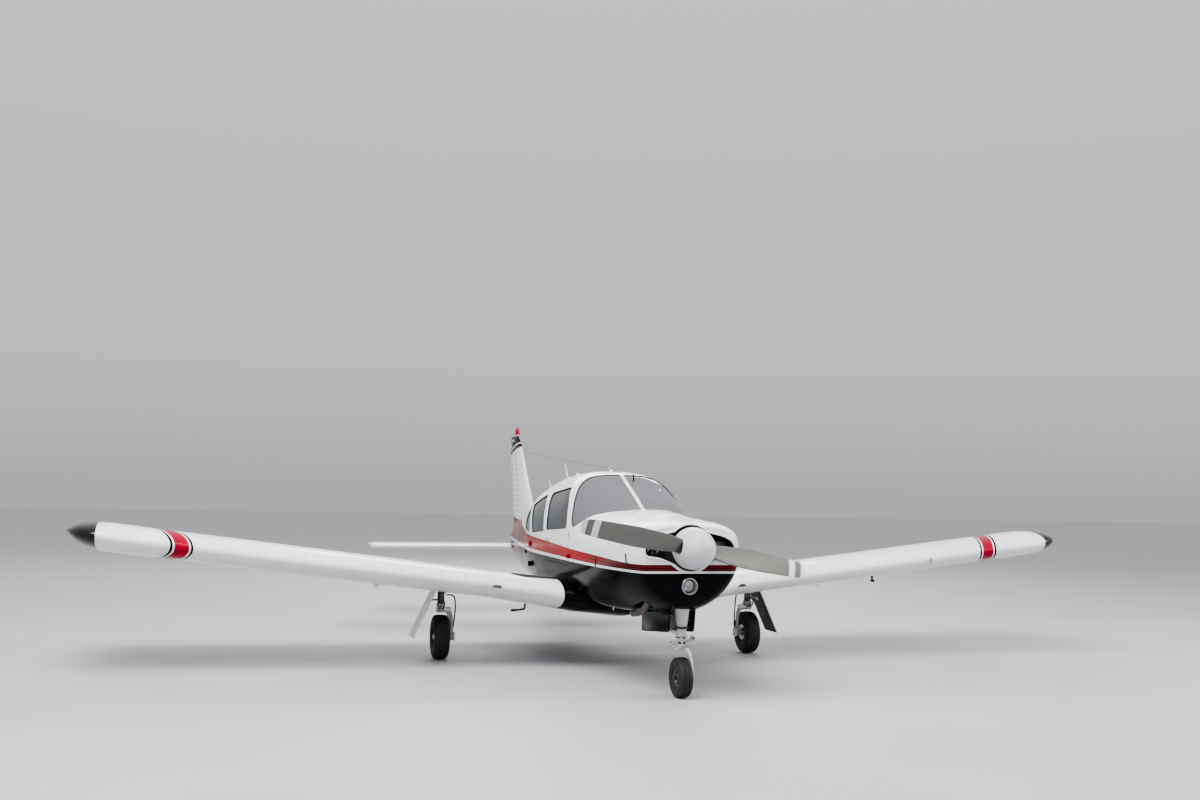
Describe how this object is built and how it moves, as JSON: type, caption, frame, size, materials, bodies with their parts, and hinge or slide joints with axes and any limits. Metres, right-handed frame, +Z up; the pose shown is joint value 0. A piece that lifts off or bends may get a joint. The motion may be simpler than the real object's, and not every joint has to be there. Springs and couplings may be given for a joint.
{
  "type": "light aircraft",
  "caption": "Low-wing light aircraft with a single engine, a cabin for four and a retractable tricycle gear, parked on its wheels.",
  "frame": {"origin": "centre of the bounding box at ground level", "axes": "+X to the aircraft's own left along the span, +Y aft along the fuselage, +Z up"},
  "size_m": [9.829, 7.521, 2.475],
  "materials": {
    "white_paint": "gloss white paint over sheet metal",
    "black_paint": "gloss black paint over sheet metal",
    "tip_plastic": "gloss black moulded tip",
    "window": "clear acrylic",
    "blade": "satin grey with white bands",
    "gear_metal": "satin off-white enamel",
    "rim_metal": "satin cast metal",
    "tyre": "worn matte rubber",
    "engine": "dull cast metal",
    "seat_cloth": "woven cloth and soft vinyl",
    "cabin_trim": "matte black",
    "lamp": "clear lens over a bright reflector",
    "beacon": "clear red lens",
    "step_metal": "satin black"
  },
  "bodies": {
    "airframe": {"cabin_shell": "white_paint", "cowl_upper": "white_paint", "fin": "white_paint", "wing_left": "white_paint", "main_gear_door_left": "white_paint", "wing_right": "white_paint", "main_gear_door_right": "white_paint", "tail_cone": "black_paint", "cowl_lower": "black_paint", "nose_gear_door_left": "black_paint", "nose_gear_door_right": "black_paint", "wing_tip_left": "tip_plastic", "wing_tip_right": "tip_plastic", "window_left_front": "window", "window_left_middle": "window", "window_left_rear": "window", "window_right_middle": "window", "window_right_rear": "window", "windscreen_left": "window", "windscreen_right": "window", "nose_strut": "gear_metal", "main_leg_left": "gear_metal", "main_leg_right": "gear_metal", "engine_block": "engine", "front_seat_left": "seat_cloth", "front_seat_right": "seat_cloth", "rear_seat": "seat_cloth", "instrument_panel": "cabin_trim", "landing_light": "lamp", "beacon": "beacon", "boarding_step": "step_metal"},
    "propeller": {"propeller": "blade", "spinner": "white_paint"},
    "nose_leg": {"nose_fork": "gear_metal"},
    "nose_wheel": {"nose_tyre": "tyre", "nose_rim": "rim_metal"},
    "main_wheel_left": {"main_tyre_left": "tyre", "main_rim_left": "rim_metal"},
    "main_wheel_right": {"main_tyre_right": "tyre", "main_rim_right": "rim_metal"},
    "cabin_door": {"cabin_door": "white_paint", "window_right_front": "window"},
    "baggage_door": {"baggage_door": "white_paint"},
    "flap_left": {"flap_left": "white_paint"},
    "flap_right": {"flap_right": "white_paint"},
    "aileron_left": {"aileron_left": "white_paint"},
    "aileron_right": {"aileron_right": "white_paint"},
    "rudder": {"rudder": "white_paint"},
    "stabilator": {"stabilator": "white_paint"},
    "stabilator_tab": {"stabilator_tab": "white_paint"}
  },
  "joints": [
    {"name": "propeller_spin", "type": "hinge", "parent": "airframe", "child": "propeller", "pos_m": [0, -3.57, 1.206], "axis": [0, 1, 0], "continuous": true},
    {"name": "nose_steering", "type": "hinge", "parent": "airframe", "child": "nose_leg", "pos_m": [0, -3.26, 0.4], "axis": [0, 0, 1], "range_deg": [-30, 30]},
    {"name": "nose_wheel_spin", "type": "hinge", "parent": "nose_leg", "child": "nose_wheel", "pos_m": [0, -3.26, 0.16], "axis": [1, 0, 0], "continuous": true},
    {"name": "main_wheel_left_spin", "type": "hinge", "parent": "airframe", "child": "main_wheel_left", "pos_m": [1.6, -0.84, 0.212], "axis": [1, 0, 0], "continuous": true},
    {"name": "main_wheel_right_spin", "type": "hinge", "parent": "airframe", "child": "main_wheel_right", "pos_m": [-1.6, -0.84, 0.212], "axis": [1, 0, 0], "continuous": true},
    {"name": "cabin_door_hinge", "type": "hinge", "parent": "airframe", "child": "cabin_door", "pos_m": [-0.58, -1.742, 1.2], "axis": [0, 0, 1], "range_deg": [0, 70]},
    {"name": "baggage_door_hinge", "type": "hinge", "parent": "airframe", "child": "baggage_door", "pos_m": [-0.546, 0.013, 0.965], "axis": [0, 0, 1], "range_deg": [0, 90]},
    {"name": "flap_left_hinge", "type": "hinge", "parent": "airframe", "child": "flap_left", "pos_m": [1.62394, -0.348, 0.72603], "axis": [-0.9925, 0, -0.1219], "range_deg": [0, 40]},
    {"name": "flap_right_hinge", "type": "hinge", "parent": "airframe", "child": "flap_right", "pos_m": [-1.62394, -0.348, 0.72603], "axis": [-0.9925, 0, 0.1219], "range_deg": [0, 40]},
    {"name": "aileron_left_hinge", "type": "hinge", "parent": "airframe", "child": "aileron_left", "pos_m": [3.48496, -0.348, 0.95454], "axis": [-0.9925, 0, -0.1219], "range_deg": [-20, 20]},
    {"name": "aileron_right_hinge", "type": "hinge", "parent": "airframe", "child": "aileron_right", "pos_m": [-3.48496, -0.348, 0.95454], "axis": [-0.9925, 0, 0.1219], "range_deg": [-20, 20]},
    {"name": "rudder_hinge", "type": "hinge", "parent": "airframe", "child": "rudder", "pos_m": [0, 3.01, 0.99], "axis": [0, 0.3721, 0.9282], "range_deg": [-27, 27]},
    {"name": "stabilator_pivot", "type": "hinge", "parent": "airframe", "child": "stabilator", "pos_m": [0, 2.93, 0.9], "axis": [1, 0, 0], "range_deg": [-3, 15]},
    {"name": "stabilator_tab_hinge", "type": "hinge", "parent": "stabilator", "child": "stabilator_tab", "pos_m": [0, 3.33, 0.9], "axis": [1, 0, 0], "range_deg": [-2.4, 12]}
  ],
  "couplings": [
    {"joint": "flap_right_hinge", "follows": "flap_left_hinge", "ratio": 1},
    {"joint": "aileron_right_hinge", "follows": "aileron_left_hinge", "ratio": -1},
    {"joint": "stabilator_tab_hinge", "follows": "stabilator_pivot", "ratio": 0.8}
  ]
}
